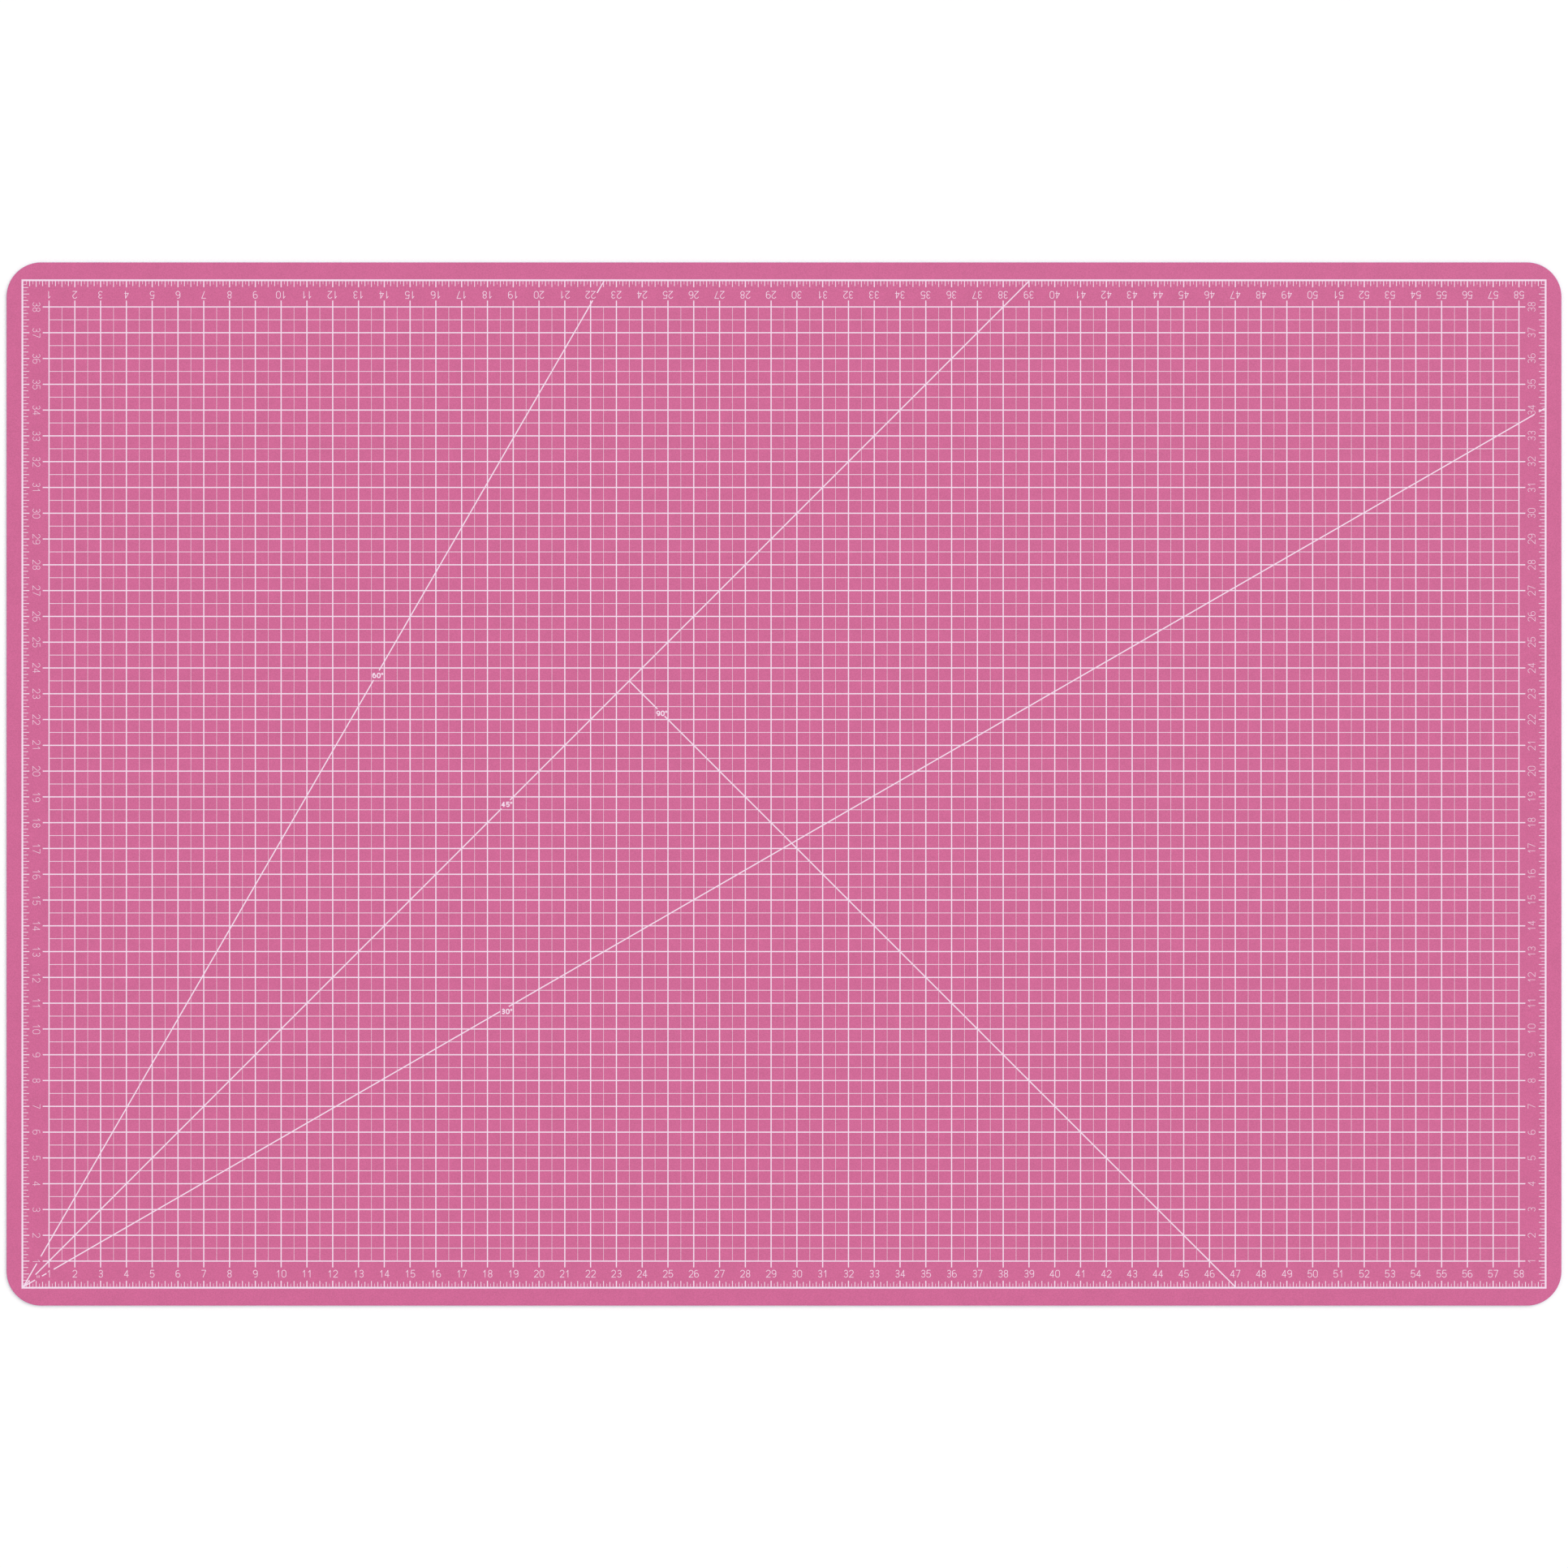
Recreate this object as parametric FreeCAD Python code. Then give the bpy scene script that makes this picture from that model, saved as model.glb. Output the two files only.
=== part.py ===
"""A large two-sided self-healing cutting mat.

Five bonded sheets, pink on top and blue underneath, each face printed in white ink with an inch
ruler, a half-inch grid and angle guides. Millimetres, +X along the long side, +Z up, origin at
the centre of the underside.
"""

import FreeCAD, Part
import math
import os

os.makedirs("parts", exist_ok=True)

Vector = FreeCAD.Vector
ALONG_X = Vector(1, 0, 0)
ALONG_Y = Vector(0, 1, 0)
ALONG_Z = Vector(0, 0, 1)
SAME = 1e-6

# The mat.
INCH = 25.4
MAT_LENGTH = 1531.6
MAT_WIDTH = 1027.6
CORNER_RADIUS = 34.0
EDGE_RADIUS = 0.3

# Thickness of each sheet.
SKIN = 0.5
HEALING = 0.6
CORE = 0.8

# Thickness of the ink on both faces. It is printed in passes, each a little thinner than the one
# before, so where two lines cross only the thicker one shows.
INK = 0.05
PASS_STEP = 0.005
CROSSWISE_PASS = 0
LENGTHWISE_PASS = 1
GUIDE_PASSES = {60: 2, 90: 2, 45: 3, 30: 4}
LABEL_PASS = 5

# The ruler: whole inches along each side, read from the inner edge of the border line.
RULER_LENGTH = 59
RULER_WIDTH = 39
BORDER_LINE = 1.7

# Grid lines. The grid starts one inch in, and its inch lines start a little nearer the border.
INCH_LINE = 1.05
INCH_LINE_START = 0.754
LENGTHWISE_HALF_LINE = 0.52
CROSSWISE_HALF_LINE = 0.32

# Ruler marks: how many eighths of an inch apart each kind is, its length and its width. The two
# short sides are printed finer, at this share of the width.
EIGHTHS = 8
MARKS = [
    (8, 6.0, 1.05),
    (4, 5.8, 0.7),
    (2, 4.9, 0.7),
    (1, 3.2, 0.4),
]
SHORT_SIDE_SHARE = 0.85

# Angle guides: the stretches that are printed, as heights above the zero corner in inches, with
# gaps round the figures. The 90 degree guide leaves the 45 degree one, square to it, at TURN
# inches both ways, and its stretches are distances along the ruler.
GUIDE_LINE = 1.1
TURN = 23.5
GUIDES = {
    60: [(0, 0.907), (1.18, 23.53), (23.90, 38.25), (38.54, RULER_WIDTH)],
    45: [(0, 0.25), (0.475, 18.54), (18.88, RULER_WIDTH)],
    30: [(0, 0.264), (0.42, 0.52), (0.68, 10.68), (10.87, 33.83), (33.93, 34.06)],
}
SQUARE_GUIDE = [(TURN, 24.59), (24.87, 2 * TURN)]

# Numbers along the ruler, which have a finer pen on the two short sides too.
NUMERAL_HEIGHT = 7.4
NUMERAL_WIDTH = 4.5
NUMERAL_PITCH = 5.45
LONG_SIDE_PEN = 0.54
SHORT_SIDE_PEN = 0.38
NUMERAL_INSET = 0.51
TOP_NUMERAL_INSET = 0.532

# Figures beside the guides, and where each label's middle is in inches on the ruler.
LABEL_HEIGHT = 5.3
LABEL_WIDTH = 3.9
LABEL_PITCH = 4.4
LABEL_PEN = 1.05
DEGREE_RADIUS = 0.75
DEGREE_PEN = 0.75
DEGREE_GAP = 0.35
LABELS = {60: (13.75, 23.71), 45: (18.75, 18.71), 30: (18.75, 10.68), 90: (24.76, 22.24)}

# The inch sign near the zero corner: two short strokes, in inches on the ruler.
INCH_SIGN_AT = (0.54, 0.61)
INCH_SIGN_FROM = 0.35
INCH_SIGN_TO = 0.44

# Heights that follow from those.
BLUE_FACE = INK
PINK_FACE = BLUE_FACE + 2 * SKIN + 2 * HEALING + CORE
MIDDLE = (BLUE_FACE + PINK_FACE) / 2
ZERO_CORNER = Vector(-RULER_LENGTH * INCH / 2, -RULER_WIDTH * INCH / 2, PINK_FACE)


def on_ruler(u, v):
    """The point u inches along and v inches across from the ruler's zero corner."""
    return ZERO_CORNER + ALONG_X * (u * INCH) + ALONG_Y * (v * INCH)


# Sheets


def sheet(bottom, thickness):
    """One layer of the laminate, with the mat's rounded corners."""
    low = Vector(-MAT_LENGTH / 2, -MAT_WIDTH / 2, bottom)
    block = Part.makeBox(MAT_LENGTH, MAT_WIDTH, thickness, low)
    corners = [edge for edge in block.Edges if edge.BoundBox.ZLength > thickness / 2]
    return block.makeFillet(CORNER_RADIUS, corners)


def soften(skin, height):
    """Round the skin's outer edge at one height, as a trimmed edge is."""
    rim = [edge for edge in skin.Edges if all(abs(v.Z - height) < SAME for v in edge.Vertexes)]
    return skin.makeFillet(EDGE_RADIUS, rim)


def make_sheets():
    """The five bonded layers, from the blue face up."""
    stack = [
        ("blue_cutting_skin", SKIN),
        ("blue_side_healing_layer", HEALING),
        ("centre_core_sheet", CORE),
        ("pink_side_healing_layer", HEALING),
        ("pink_cutting_skin", SKIN),
    ]
    layers = {}
    bottom = BLUE_FACE
    for name, thickness in stack:
        layers[name] = sheet(bottom, thickness)
        bottom += thickness
    layers["blue_cutting_skin"] = soften(layers["blue_cutting_skin"], BLUE_FACE)
    layers["pink_cutting_skin"] = soften(layers["pink_cutting_skin"], PINK_FACE)
    return layers


# Ink lines


def ink(number):
    """The thickness of one pass of ink."""
    return INK - number * PASS_STEP


def line(start, end, width, thickness=INK):
    """A straight printed line, its ends cut square."""
    along = (end - start).normalize()
    side = Vector(-along.y, along.x, 0) * (width / 2)
    corners = [start + side, start - side, end - side, end + side]
    face = Part.Face(Part.makePolygon(corners + corners[:1]))
    return face.extrude(ALONG_Z * thickness)


def rectangle(low, high):
    """A level rectangle between two opposite corners."""
    corners = [low, Vector(high.x, low.y, low.z), high, Vector(low.x, high.y, low.z)]
    return Part.Face(Part.makePolygon(corners + corners[:1]))


def border():
    """The line round the ruler, which lies just outside its zero."""
    low = on_ruler(0, 0)
    high = on_ruler(RULER_LENGTH, RULER_WIDTH)
    out = Vector(BORDER_LINE, BORDER_LINE, 0)
    frame = rectangle(low - out, high + out).cut(rectangle(low, high))
    return [frame.extrude(ALONG_Z * INK)]


def grid(first, start, crosswise_width, lengthwise_width):
    """Lines an inch apart each way, from the first to its mirror image, and as far as the start."""
    far_u = RULER_LENGTH - start
    far_v = RULER_WIDTH - start
    crosswise = ink(CROSSWISE_PASS)
    lengthwise = ink(LENGTHWISE_PASS)
    lines = []
    for step in range(int(RULER_LENGTH - 2 * first) + 1):
        u = first + step
        lines.append(line(on_ruler(u, start), on_ruler(u, far_v), crosswise_width, crosswise))
    for step in range(int(RULER_WIDTH - 2 * first) + 1):
        v = first + step
        lines.append(line(on_ruler(start, v), on_ruler(far_u, v), lengthwise_width, lengthwise))
    return lines


def mark_size(eighth):
    """The length and width of the ruler mark at this many eighths of an inch."""
    return next((length, width) for every, length, width in MARKS if eighth % every == 0)


def ruler_marks():
    """Marks every eighth of an inch on all four sides, pointing in from the border."""
    top = on_ruler(0, RULER_WIDTH)
    right = on_ruler(RULER_LENGTH, 0)
    crosswise = ink(CROSSWISE_PASS)
    lengthwise = ink(LENGTHWISE_PASS)
    sides = [
        (RULER_LENGTH, ZERO_CORNER, ALONG_X, ALONG_Y, 1, crosswise),
        (RULER_LENGTH, top, ALONG_X, -ALONG_Y, 1, crosswise),
        (RULER_WIDTH, ZERO_CORNER, ALONG_Y, ALONG_X, SHORT_SIDE_SHARE, lengthwise),
        (RULER_WIDTH, right, ALONG_Y, -ALONG_X, SHORT_SIDE_SHARE, lengthwise),
    ]
    marks = []
    for inches, start, along, inward, share, thickness in sides:
        for eighth in range(1, EIGHTHS * inches):
            length, width = mark_size(eighth)
            foot = start + along * (eighth * INCH / EIGHTHS)
            marks.append(line(foot, foot + inward * length, width * share, thickness))
    return marks


def guides():
    """Guides at 30, 45 and 60 degrees from the zero corner, and the one square to 45."""
    lines = []
    for degrees, stretches in GUIDES.items():
        lean = 1 / math.tan(math.radians(degrees))
        thickness = ink(GUIDE_PASSES[degrees])
        for a, b in stretches:
            ends = (on_ruler(a * lean, a), on_ruler(b * lean, b))
            lines.append(line(*ends, GUIDE_LINE, thickness))
    for a, b in SQUARE_GUIDE:
        ends = (on_ruler(a, 2 * TURN - a), on_ruler(b, 2 * TURN - b))
        lines.append(line(*ends, GUIDE_LINE, ink(GUIDE_PASSES[90])))
    return lines


# Figures


def on_circle(x, y, radius, degrees):
    """The point on a circle at an angle."""
    turn = math.radians(degrees)
    return x + radius * math.cos(turn), y + radius * math.sin(turn)


def pen_paths(tall):
    """Every figure's strokes, in half-widths: x runs from -1 to 1, and y from 0 up to tall.

    A stroke is ("line", x, y, x, y) or ("arc", centre x, centre y, radius, from, to), in degrees.
    """
    waist = 0.52 * tall
    upper = (tall - waist) / 2
    lower = waist / 2
    bar = 0.28 * tall
    belly = 0.305 * tall
    two_neck = on_circle(0, tall - 1, 1, -46)
    five_hip = on_circle(1 - belly, belly, belly, 148)
    return {
        "0": [
            ("arc", 0, tall - 1, 1, 0, 180),
            ("line", -1, tall - 1, -1, 1),
            ("arc", 0, 1, 1, 180, 360),
            ("line", 1, 1, 1, tall - 1),
        ],
        "1": [("line", -0.55, tall - 0.95, 0.2, tall), ("line", 0.2, tall, 0.2, 0)],
        "2": [
            ("arc", 0, tall - 1, 1, -46, 165),
            ("line", *two_neck, -1, 0),
            ("line", -1, 0, 1, 0),
        ],
        "3": [
            ("arc", 0.1, tall - upper, upper, -90, 160),
            ("line", -0.3, waist, 0.1, waist),
            ("arc", 0.06, lower, lower, 200, 450),
        ],
        "4": [
            ("line", 0.45, tall, -1, bar),
            ("line", -1, bar, 1, bar),
            ("line", 0.45, 0, 0.45, tall),
        ],
        "5": [
            ("line", 0.85, tall, -0.7, tall),
            ("line", -0.7, tall, *five_hip),
            ("arc", 1 - belly, belly, belly, 205, 508),
        ],
        "6": [
            ("arc", 0, 1, 1, 0, 360),
            ("line", -1, 1, -1, tall - 1.05),
            ("arc", 0, tall - 1.05, 1, 60, 180),
        ],
        "7": [("line", -1, tall, 1, tall), ("line", 1, tall, -0.35, 0)],
        "8": [("arc", 0, lower, lower, 0, 360), ("arc", 0, tall - upper, upper, 0, 360)],
        "9": [
            ("arc", 0, tall - 1, 1, 0, 360),
            ("line", 1, tall - 1, 1, 1.05),
            ("arc", 0, 1.05, 1, 240, 360),
        ],
    }


def ring(centre, radius, pen, thickness):
    """A printed circle."""
    outer = Part.Face(Part.Wire(Part.makeCircle(radius + pen / 2, centre)))
    inner = Part.Face(Part.Wire(Part.makeCircle(radius - pen / 2, centre)))
    return outer.cut(inner).extrude(ALONG_Z * thickness)


def bow(centre, radius, first, last, pen, thickness):
    """A printed stretch of a circle, between two angles in degrees."""
    sides = []
    for r in (radius + pen / 2, radius - pen / 2):
        circle = Part.Circle(centre, ALONG_Z, r)
        sides.append(Part.ArcOfCircle(circle, math.radians(first), math.radians(last)))
    outer, inner = sides
    ends = [
        Part.LineSegment(outer.StartPoint, inner.StartPoint),
        Part.LineSegment(outer.EndPoint, inner.EndPoint),
    ]
    outline = Part.Wire([side.toShape() for side in (outer, ends[1], inner, ends[0])])
    return Part.Face(outline).extrude(ALONG_Z * thickness)


def figure(character, height, width, pen, thickness=INK):
    """One figure as a solid, its middle over the origin and its underside at Z 0."""
    half = (width - pen) / 2
    tall = (height - pen) / half
    strokes = []
    for kind, *numbers in pen_paths(tall)[character]:
        if kind == "line":
            x1, y1, x2, y2 = numbers
            start = Vector(x1, y1 - tall / 2, 0) * half
            end = Vector(x2, y2 - tall / 2, 0) * half
            strokes.append(line(start, end, pen, thickness))
            strokes += [Part.makeCylinder(pen / 2, thickness, point) for point in (start, end)]
        else:
            x, y, radius, first, last = numbers
            centre = Vector(x, y - tall / 2, 0) * half
            closed = last - first == 360
            if closed:
                strokes.append(ring(centre, radius * half, pen, thickness))
            else:
                strokes.append(bow(centre, radius * half, first, last, pen, thickness))
    return strokes[0].multiFuse(strokes[1:]).removeSplitter()


def write_number(figures, number, pitch, centre, turn):
    """Copies of the figures side by side, centred on a point and turned about it."""
    text = str(number)
    copies = []
    for place, character in enumerate(text):
        copy = figures[character].copy()
        copy.translate(ALONG_X * (pitch * (place - (len(text) - 1) / 2)))
        copy.rotate(Vector(0, 0, 0), ALONG_Z, turn)
        copy.translate(centre)
        copies.append(copy)
    return copies


def numerals():
    """Every inch numbered on all four sides, the figures' tops towards the grid."""
    size = (NUMERAL_HEIGHT, NUMERAL_WIDTH)
    bold = {c: figure(c, *size, LONG_SIDE_PEN) for c in "0123456789"}
    fine = {c: figure(c, *size, SHORT_SIDE_PEN) for c in "0123456789"}
    top = RULER_WIDTH - TOP_NUMERAL_INSET
    right = RULER_LENGTH - NUMERAL_INSET
    copies = []
    for u in range(1, RULER_LENGTH):
        copies += write_number(bold, u, NUMERAL_PITCH, on_ruler(u, NUMERAL_INSET), 0)
        copies += write_number(bold, u, NUMERAL_PITCH, on_ruler(u, top), 180)
    for v in range(1, RULER_WIDTH):
        copies += write_number(fine, v, NUMERAL_PITCH, on_ruler(NUMERAL_INSET, v), -90)
        copies += write_number(fine, v, NUMERAL_PITCH, on_ruler(right, v), 90)
    return copies


def angle_labels():
    """Each guide's angle in figures with a degree ring, and the inch sign by the zero corner."""
    thickness = ink(LABEL_PASS)
    size = (LABEL_HEIGHT, LABEL_WIDTH)
    figures = {c: figure(c, *size, LABEL_PEN, thickness) for c in "034569"}
    outer_radius = DEGREE_RADIUS + DEGREE_PEN / 2
    figures_right = (LABEL_PITCH + LABEL_WIDTH) / 2
    ring_x = figures_right + DEGREE_GAP + outer_radius
    ring_y = LABEL_HEIGHT / 2 - outer_radius
    shift = (ring_x + outer_radius - figures_right) / 2
    copies = []
    for angle, place in LABELS.items():
        centre = on_ruler(*place) - ALONG_X * shift
        copies += write_number(figures, angle, LABEL_PITCH, centre, 0)
        degree = centre + Vector(ring_x, ring_y, 0)
        copies.append(ring(degree, DEGREE_RADIUS, DEGREE_PEN, thickness))
    for u in INCH_SIGN_AT:
        ends = (on_ruler(u, INCH_SIGN_FROM), on_ruler(u, INCH_SIGN_TO))
        copies.append(line(*ends, LONG_SIDE_PEN, thickness))
    return copies


def write_node(name, shape):
    """Write one node's STEP file."""
    shape.exportStep(os.path.join("parts", name + ".step"))
    print(f"{name}: {len(shape.Solids)} solids, {shape.Volume:.0f} mm3, valid {shape.isValid()}")


def write_print(name, solids):
    """Write one group of ink for the pink face, and the same turned over on to the blue face."""
    pink = Part.makeCompound(solids)
    write_node("pink_print_" + name, pink)
    blue = pink.copy()
    blue.rotate(Vector(0, 0, MIDDLE), ALONG_X, 180)
    write_node("blue_print_" + name, blue)


for sheet_name, layer in make_sheets().items():
    write_node(sheet_name, layer)

write_print("border", border())
write_print("ruler_marks", ruler_marks())
write_print("numerals", numerals())
write_print("inch_lines", grid(1, INCH_LINE_START, INCH_LINE, INCH_LINE))
write_print("half_inch_lines", grid(1.5, 1, CROSSWISE_HALF_LINE, LENGTHWISE_HALF_LINE))
write_print("angle_lines", guides())
write_print("angle_labels", angle_labels())
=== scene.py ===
"""Looks for a two-sided self-healing cutting mat.

The five bonded sheets are rebuilt with smooth corners and a trimmed edge, the printed ink keeps
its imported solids, and everything gets a procedural material. Metres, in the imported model's frame.
"""

import math

import bmesh
import bpy
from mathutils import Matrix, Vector


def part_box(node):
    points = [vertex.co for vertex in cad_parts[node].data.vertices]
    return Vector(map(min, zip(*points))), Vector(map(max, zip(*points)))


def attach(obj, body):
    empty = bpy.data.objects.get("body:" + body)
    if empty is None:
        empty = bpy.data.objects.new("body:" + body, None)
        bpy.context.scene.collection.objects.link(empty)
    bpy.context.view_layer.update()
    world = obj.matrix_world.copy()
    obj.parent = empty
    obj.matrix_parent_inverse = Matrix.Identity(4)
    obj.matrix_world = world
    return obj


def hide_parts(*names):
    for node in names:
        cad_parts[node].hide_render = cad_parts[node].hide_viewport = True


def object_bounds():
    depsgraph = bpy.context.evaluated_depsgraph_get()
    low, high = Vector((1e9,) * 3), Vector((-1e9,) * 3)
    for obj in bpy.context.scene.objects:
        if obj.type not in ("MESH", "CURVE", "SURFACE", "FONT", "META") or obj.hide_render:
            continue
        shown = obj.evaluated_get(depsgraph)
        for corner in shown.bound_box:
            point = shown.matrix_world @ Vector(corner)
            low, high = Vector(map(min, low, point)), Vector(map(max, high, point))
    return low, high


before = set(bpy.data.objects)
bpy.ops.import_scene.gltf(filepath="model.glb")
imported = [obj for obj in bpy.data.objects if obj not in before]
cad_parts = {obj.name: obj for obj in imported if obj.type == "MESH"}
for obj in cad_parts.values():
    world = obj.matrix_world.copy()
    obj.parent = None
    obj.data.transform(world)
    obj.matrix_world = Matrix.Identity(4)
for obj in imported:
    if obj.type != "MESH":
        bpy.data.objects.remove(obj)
cad_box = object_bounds()

MM = 0.001

# The sheets' rounded corners and trimmed edge.
CORNER_RADIUS = 34 * MM
CORNER_STEPS = 40
EDGE_RADIUS = 0.3 * MM
EDGE_STEPS = 6
FACE_MARGIN = 1.5 * MM
SEAM_INSET = 0.07 * MM
SEAM_RISE = 0.05 * MM
CORE_INSET = 0.12 * MM
BULGE_STEPS = 6
SHARP_ANGLE = 35

# Colours, in linear light.
PINK = (0.5662, 0.1136, 0.2657)
BLUE = (0.0022, 0.170, 0.550)
PINK_HEALING = (0.62, 0.19, 0.34)
BLUE_HEALING = (0.02, 0.20, 0.52)
CREAM = (0.80, 0.72, 0.58)
INK_ON_PINK = (0.878, 0.691, 0.826)
INK_ON_BLUE = (0.760, 0.930, 0.960)
FLOOR = (0.98, 0.98, 0.98)

# The mould's stipple, on the faces and under the ink: pits a pitch apart, with a share of finer
# grain. A pit's wall lies between these distances from its middle, as shares of the pitch.
PIT_PITCH = 0.8 * MM
PIT_WALL = (0.12, 0.55)
PIT_SMOOTHNESS = 0.4
GRAIN = 0.3 * MM
GRAIN_SHARE = 0.25

# The cutting faces: small mottling with a share of large clouds, and the stipple's share of the
# colour, which is painted shade that darkens the pits. Roughness goes from the pits to the ground
# between them.
MOTTLE = 1.4 * MM
CLOUDS = 18 * MM
CLOUD_SHARE = 0.3
PIT_SHADE_SHARE = 0.55
SKIN_CONTRAST = 0.2
SKIN_RELIEF = 0.05 * MM
SKIN_ROUGHNESS = (0.62, 0.46)
SKIN_SPECULAR = 0.35

# The ink: faint patches, and how much of the skin shows as the ink goes from thin to full.
INK_PATCHES = 3 * MM
PATCH_SHARE = 0.5
THIN_TO_FULL = (0.15, 0.6)
SKIN_SHOWING = (0.12, 0)
INK_RELIEF = 0.03 * MM
INK_ROUGHNESS = (0.36, 0.48)
INK_SPECULAR = 0.45

# The trimmed edges: upright streaks from the blade, and a share of soft clouds.
STREAK = 0.35 * MM
STREAK_STRETCH = (1, 1, 0.08)
EDGE_CLOUDS = 4 * MM
EDGE_CLOUD_SHARE = 0.4
EDGE_CONTRAST = 0.06
EDGE_RELIEF = 0.02 * MM
SOFT_ROUGHNESS = (0.54, 0.66)
HARD_ROUGHNESS = (0.44, 0.56)
EDGE_SPECULAR = 0.3

# The floor, just under the mat and wide enough to reach the horizon.
FLOOR_DROP = 0.05 * MM
FLOOR_RADIUS = 60
FLOOR_SEGMENTS = 96
FLOOR_CLOUDS = 0.4
FLOOR_CONTRAST = 0.002
FLOOR_ROUGHNESS = 0.9

# Light: a pale dome, as bright as the floor near the horizon, and a broad soft key.
DOME_STRENGTH = 0.77
HORIZON_STRENGTH = 1.0
HORIZON_BAND = 0.3
KEY_STRENGTH = 1.11
KEY_TILT = 38
KEY_TURN = 130
KEY_SOFTNESS = 50

# The camera looks straight down, and leaves this much beside the mat at either end.
LENS = 120
PICTURE_MARGIN = 6.4 * MM


# Materials


class Nodes:
    """A material's node tree, with short ways to add and join nodes."""

    MIX_SOCKETS = {"FLOAT": (2, 3, 0), "RGBA": (6, 7, 2)}
    RAW_NOISE = (0.3, 0.7)

    def __init__(self, name, specular):
        self.material = bpy.data.materials.new(name)
        self.material.use_nodes = True
        self.tree = self.material.node_tree
        self.shader = self.tree.nodes["Principled BSDF"]
        self.shade("Specular IOR Level", specular)

    def feed(self, socket, value):
        """Join an output to a socket, or set the socket to a number or colour."""
        if isinstance(value, bpy.types.NodeSocket):
            self.tree.links.new(value, socket)
        else:
            socket.default_value = value

    def shade(self, socket, value):
        """Give one of the shader's sockets a number, a colour or an output."""
        self.feed(self.shader.inputs[socket], value)

    def add(self, kind, inputs, **properties):
        """A new node with these properties and inputs."""
        node = self.tree.nodes.new("ShaderNode" + kind)
        for name, value in properties.items():
            setattr(node, name, value)
        for name, value in inputs.items():
            self.feed(node.inputs[name], value)
        return node

    def place(self, stretch=(1, 1, 1)):
        """The surface's own coordinates in metres, scaled along each axis."""
        own = self.add("TexCoord", {}).outputs["Object"]
        return self.add("Mapping", {"Vector": own, "Scale": stretch}).outputs["Vector"]

    def noise(self, grain, where, detail=2):
        """Soft noise with features about this many metres across, spread from 0 to 1."""
        inputs = {"Vector": where, "Scale": 1 / grain, "Detail": detail}
        value = self.add("TexNoise", inputs).outputs["Fac"]
        return self.span(value, self.RAW_NOISE, (0, 1))

    def cells(self, grain, where, smoothness):
        """Rounded cells about this many metres across, 0 in their middles."""
        inputs = {"Vector": where, "Scale": 1 / grain, "Smoothness": smoothness}
        return self.add("TexVoronoi", inputs, feature="SMOOTH_F1").outputs["Distance"]

    def span(self, value, old, new):
        """A value moved from one range to another."""
        ranges = {"From Min": old[0], "From Max": old[1], "To Min": new[0], "To Max": new[1]}
        return self.add("MapRange", {"Value": value, **ranges}).outputs["Result"]

    def mix(self, kind, first, second, share):
        """A number or colour that turns from the first into the second."""
        first_socket, second_socket, result = self.MIX_SOCKETS[kind]
        inputs = {0: share, first_socket: first, second_socket: second}
        return self.add("Mix", inputs, data_type=kind).outputs[result]

    def tint(self, colour, contrast, share):
        """A colour, from a little darker to a little lighter."""
        dark = (*(channel * (1 - contrast) for channel in colour), 1)
        light = (*(channel * (1 + contrast) for channel in colour), 1)
        return self.mix("RGBA", dark, light, share)

    def bump(self, height, depth):
        """Raise the surface by up to this many metres where the height is 1."""
        inputs = {"Height": height, "Distance": depth, "Strength": 1}
        self.shade("Normal", self.add("Bump", inputs).outputs["Normal"])


def stipple(nodes, where):
    """The mould's sandblasted stipple, as heights from 0 in the pits to 1 between them."""
    pits = nodes.span(nodes.cells(PIT_PITCH, where, PIT_SMOOTHNESS), PIT_WALL, (0, 1))
    return nodes.mix("FLOAT", pits, nodes.noise(GRAIN, where), GRAIN_SHARE)


def pvc_face(name, colour):
    """Matte PVC with a fine stipple, a little mottled, with painted shade that darkens its pits."""
    nodes = Nodes(name, SKIN_SPECULAR)
    where = nodes.place()
    relief = stipple(nodes, where)
    mottle = nodes.noise(MOTTLE, where, detail=1)
    clouds = nodes.noise(CLOUDS, where, detail=3)
    mottle = nodes.mix("FLOAT", mottle, clouds, CLOUD_SHARE)
    # The stipple's share of this colour is painted shade, darker in the pits.
    shade = nodes.mix("FLOAT", mottle, relief, PIT_SHADE_SHARE)
    nodes.shade("Base Color", nodes.tint(colour, SKIN_CONTRAST, shade))
    nodes.shade("Roughness", nodes.span(relief, (0, 1), SKIN_ROUGHNESS))
    nodes.bump(relief, SKIN_RELIEF)
    return nodes.material


def trimmed_edge(name, colour, roughness):
    """PVC seen only at the trimmed edge, with upright marks left by the blade."""
    nodes = Nodes(name, EDGE_SPECULAR)
    streaks = nodes.noise(STREAK, nodes.place(STREAK_STRETCH))
    clouds = nodes.noise(EDGE_CLOUDS, nodes.place())
    shade = nodes.mix("FLOAT", streaks, clouds, EDGE_CLOUD_SHARE)
    nodes.shade("Base Color", nodes.tint(colour, EDGE_CONTRAST, shade))
    nodes.shade("Roughness", nodes.span(streaks, (0, 1), roughness))
    nodes.bump(streaks, EDGE_RELIEF)
    return nodes.material


def printed_ink(name, colour, skin):
    """Thin satin ink over the stipple, with less of it in the pits and in faint patches."""
    nodes = Nodes(name, INK_SPECULAR)
    where = nodes.place()
    relief = stipple(nodes, where)
    patches = nodes.noise(INK_PATCHES, where, detail=3)
    cover = nodes.mix("FLOAT", relief, patches, PATCH_SHARE)
    showing = nodes.span(cover, THIN_TO_FULL, SKIN_SHOWING)
    nodes.shade("Base Color", nodes.mix("RGBA", (*colour, 1), (*skin, 1), showing))
    nodes.shade("Roughness", nodes.span(patches, (0, 1), INK_ROUGHNESS))
    nodes.bump(relief, INK_RELIEF)
    return nodes.material


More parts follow.
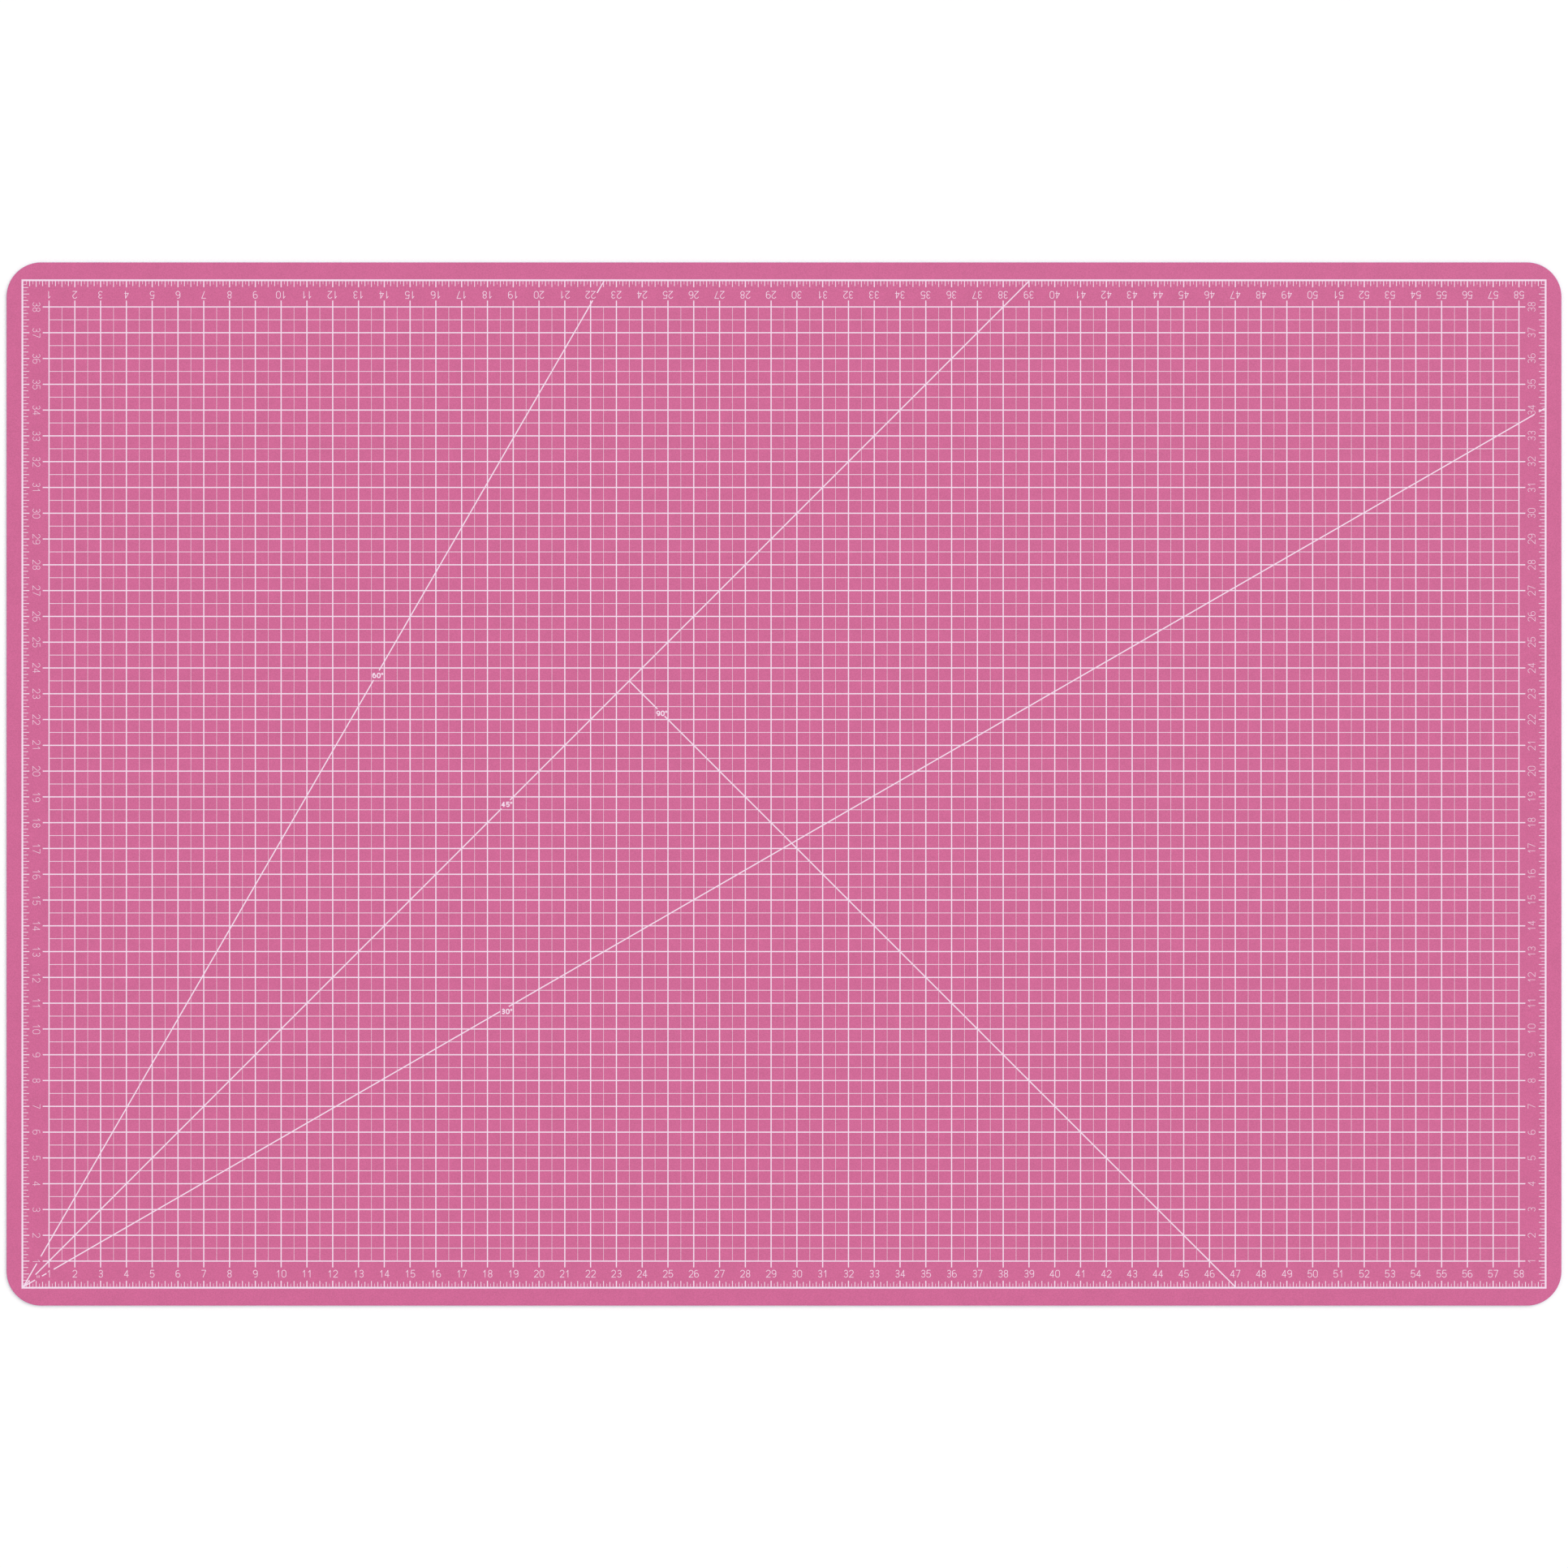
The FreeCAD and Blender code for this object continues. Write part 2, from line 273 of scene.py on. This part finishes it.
def pale_floor():
    """A plain pale sweep of paper."""
    nodes = Nodes("floor", specular=0)
    clouds = nodes.noise(FLOOR_CLOUDS, nodes.place())
    nodes.shade("Base Color", nodes.tint(FLOOR, FLOOR_CONTRAST, clouds))
    nodes.shade("Roughness", FLOOR_ROUGHNESS)
    return nodes.material


# Sheets


def outline(high, inset, height):
    """The mat's rounded rectangle, moved in from its edge, as points at one height."""
    points = []
    for quarter, (right, up) in enumerate([(1, 1), (-1, 1), (-1, -1), (1, -1)]):
        centre_x = right * (high.x - CORNER_RADIUS)
        centre_y = up * (high.y - CORNER_RADIUS)
        for step in range(CORNER_STEPS + 1):
            turn = math.radians(90 * (quarter + step / CORNER_STEPS))
            reach = CORNER_RADIUS - inset
            x = centre_x + reach * math.cos(turn)
            y = centre_y + reach * math.sin(turn)
            points.append(Vector((x, y, height)))
    return points


def skin_profile(thickness):
    """A cutting skin's edge as (inset, height), from its bonded face to its cutting face."""
    profile = [(SEAM_INSET, 0), (0, SEAM_RISE)]
    for step in range(EDGE_STEPS + 1):
        turn = math.radians(90 * step / EDGE_STEPS)
        drop = EDGE_RADIUS * (1 - math.sin(turn))
        profile.append((EDGE_RADIUS * (1 - math.cos(turn)), thickness - drop))
    profile.append((EDGE_RADIUS + FACE_MARGIN, thickness))
    return profile


def healing_profile(thickness):
    """A soft layer's edge, which bulges out a little between its seams."""
    steps = [step / BULGE_STEPS for step in range(BULGE_STEPS + 1)]
    return [(SEAM_INSET * (1 - math.sin(math.pi * s)), thickness * s) for s in steps]


def core_profile(thickness):
    """The hard core's edge, which stands back a little from the soft layers."""
    return [(CORE_INSET, 0), (CORE_INSET, thickness)]


def sheet_mesh(name, node, profile, upside_down):
    """A closed mesh that fills a packed sheet's box, from the profile of its edge."""
    low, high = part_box(node)
    build = bmesh.new()
    rings = []
    for inset, rise in profile(high.z - low.z):
        height = high.z - rise if upside_down else low.z + rise
        rings.append([build.verts.new(point) for point in outline(high, inset, height)])
    count = len(rings[0])
    for below, above in zip(rings, rings[1:]):
        for i in range(count):
            j = (i + 1) % count
            build.faces.new((below[i], below[j], above[j], above[i]))
    build.faces.new(list(reversed(rings[0])))
    build.faces.new(rings[-1])
    if upside_down:
        bmesh.ops.reverse_faces(build, faces=build.faces)
    for face in build.faces:
        face.smooth = True
    mesh = bpy.data.meshes.new(name)
    build.to_mesh(mesh)
    build.free()
    mesh.set_sharp_from_angle(angle=math.radians(SHARP_ANGLE))
    return mesh


def sheet_piece(node, slot, profile, material, upside_down):
    """A finished sheet that stands for a packed one."""
    name = slot + "_sheet"
    mesh = sheet_mesh(name, node, profile, upside_down)
    mesh.materials.append(material)
    piece = bpy.data.objects.new(name, mesh)
    bpy.context.scene.collection.objects.link(piece)
    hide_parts(node)
    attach(piece, "root")


def make_sheets():
    """The five bonded layers, from the blue face up. The blue skin faces down."""
    blue = pvc_face("blue_pvc", BLUE)
    blue_soft = trimmed_edge("blue_healing_pvc", BLUE_HEALING, SOFT_ROUGHNESS)
    hard = trimmed_edge("core_pvc", CREAM, HARD_ROUGHNESS)
    pink_soft = trimmed_edge("pink_healing_pvc", PINK_HEALING, SOFT_ROUGHNESS)
    pink = pvc_face("pink_pvc", PINK)
    layers = [
        ("blue_cutting_skin", "blue_skin", skin_profile, blue, True),
        ("blue_side_healing_layer", "blue_healing", healing_profile, blue_soft, False),
        ("centre_core_sheet", "core", core_profile, hard, False),
        ("pink_side_healing_layer", "pink_healing", healing_profile, pink_soft, False),
        ("pink_cutting_skin", "pink_skin", skin_profile, pink, False),
    ]
    for layer in layers:
        sheet_piece(*layer)


def ink_the_prints():
    """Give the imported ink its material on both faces."""
    inks = {
        "pink_print_": printed_ink("ink_on_pink", INK_ON_PINK, PINK),
        "blue_print_": printed_ink("ink_on_blue", INK_ON_BLUE, BLUE),
    }
    for name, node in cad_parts.items():
        for start, material in inks.items():
            if name.startswith(start):
                node.material_slots[0].material = material


# Studio


def make_floor():
    """A wide pale floor just under the mat."""
    build = bmesh.new()
    bmesh.ops.create_circle(build, cap_ends=True, segments=FLOOR_SEGMENTS, radius=FLOOR_RADIUS)
    mesh = bpy.data.meshes.new("floor")
    build.to_mesh(mesh)
    build.free()
    mesh.materials.append(pale_floor())
    floor = bpy.data.objects.new("floor", mesh)
    floor.location.z = cad_box[0].z - FLOOR_DROP
    bpy.context.scene.collection.objects.link(floor)


def make_dome():
    """An even white dome, which turns as bright as the floor near the horizon."""
    world = bpy.data.worlds.new("studio")
    world.use_nodes = True
    tree = world.node_tree
    dome = tree.nodes["Background"]
    dome.inputs["Color"].default_value = (1, 1, 1, 1)
    where = tree.nodes.new("ShaderNodeTexCoord")
    split = tree.nodes.new("ShaderNodeSeparateXYZ")
    fade = tree.nodes.new("ShaderNodeMapRange")
    fade.interpolation_type = "SMOOTHSTEP"
    fade.inputs["From Max"].default_value = HORIZON_BAND
    fade.inputs["To Min"].default_value = HORIZON_STRENGTH
    fade.inputs["To Max"].default_value = DOME_STRENGTH
    tree.links.new(where.outputs["Generated"], split.inputs["Vector"])
    tree.links.new(split.outputs["Z"], fade.inputs["Value"])
    tree.links.new(fade.outputs["Result"], dome.inputs["Strength"])
    bpy.context.scene.world = world


def make_key():
    """One broad key light from above."""
    key = bpy.data.lights.new("key", "SUN")
    key.energy = KEY_STRENGTH
    key.angle = math.radians(KEY_SOFTNESS)
    lamp = bpy.data.objects.new("key", key)
    lamp.rotation_euler = (math.radians(KEY_TILT), 0, math.radians(KEY_TURN))
    bpy.context.scene.collection.objects.link(lamp)


def make_camera():
    """A long lens straight above the mat's middle, with +Y up the picture."""
    low, high = cad_box
    lens = bpy.data.cameras.new("camera")
    lens.lens = LENS
    picture_width = high.x - low.x + 2 * PICTURE_MARGIN
    distance = picture_width * LENS / lens.sensor_width
    camera = bpy.data.objects.new("camera", lens)
    camera.location = (0, 0, high.z + distance)
    bpy.context.scene.collection.objects.link(camera)
    bpy.context.scene.camera = camera


make_camera()
make_sheets()
ink_the_prints()
make_floor()
make_dome()
make_key()
bpy.context.scene.view_settings.view_transform = "Standard"
